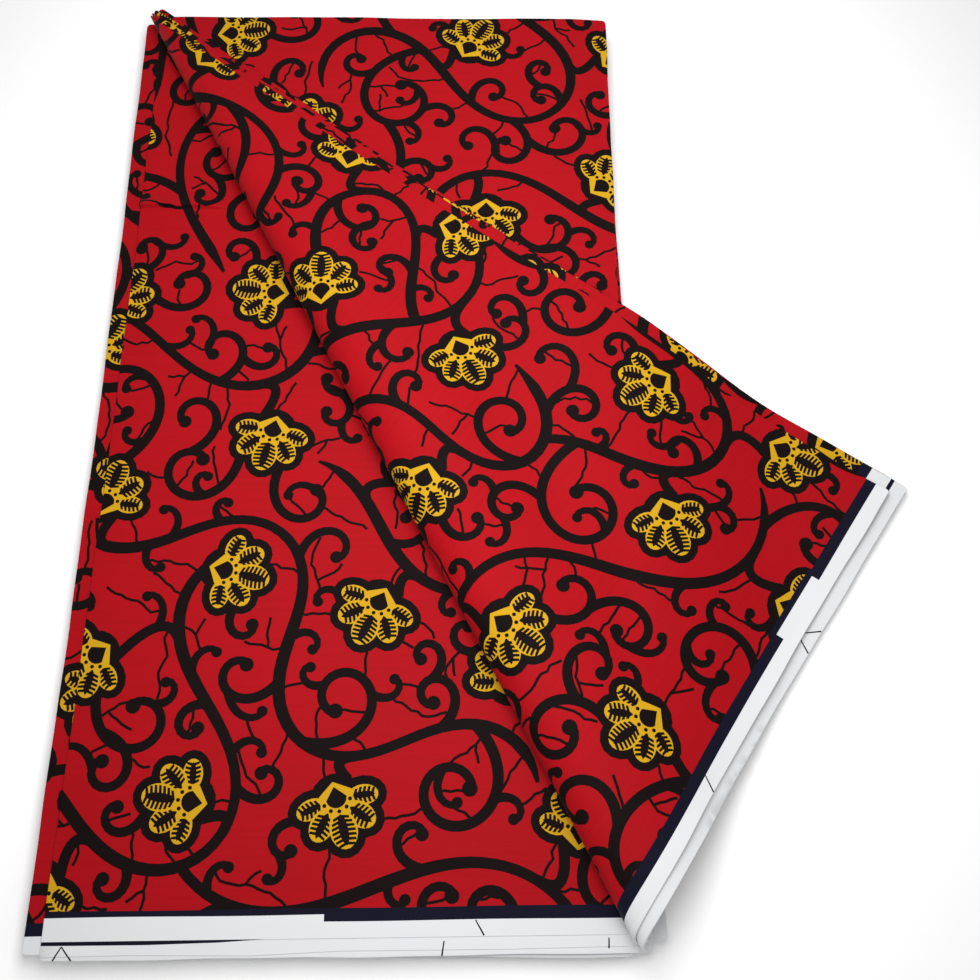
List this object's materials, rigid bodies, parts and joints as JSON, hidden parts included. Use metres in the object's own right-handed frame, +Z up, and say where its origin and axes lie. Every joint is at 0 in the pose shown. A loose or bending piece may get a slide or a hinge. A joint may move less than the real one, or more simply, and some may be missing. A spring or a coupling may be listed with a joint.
{
  "type": "folded ankara fabric",
  "caption": "Length of printed wax cotton folded into a flat rectangular pack, its top corner turned back over a soft diagonal roll so that the cloth's other side and selvedge show.",
  "frame": {"origin": "on the surface that the cloth lies on, under the middle of its bounding box", "axes": "+Z up; +Y along the leaves, away from the selvedges; +X to the right, towards the tip of the flap"},
  "size_m": [0.473, 0.5898, 0.0376],
  "materials": {
    "hidden_layers": "printed cotton, matt",
    "second_leaf": "printed cotton with a faint wax finish",
    "front_leaf": "printed cotton with a faint wax finish",
    "turned_leaf_1": "printed cotton with a faint wax finish",
    "turned_leaf_2": "printed cotton with a faint wax finish",
    "turned_leaf_3": "printed cotton with a faint wax finish",
    "turned_leaf_4": "printed cotton with a faint wax finish"
  },
  "bodies": {
    "root": {"hidden_layers": "hidden_layers", "second_leaf": "second_leaf", "front_leaf": "front_leaf", "turned_leaf_1": "turned_leaf_1", "turned_leaf_2": "turned_leaf_2", "turned_leaf_3": "turned_leaf_3", "turned_leaf_4": "turned_leaf_4"}
  },
  "joints": []
}
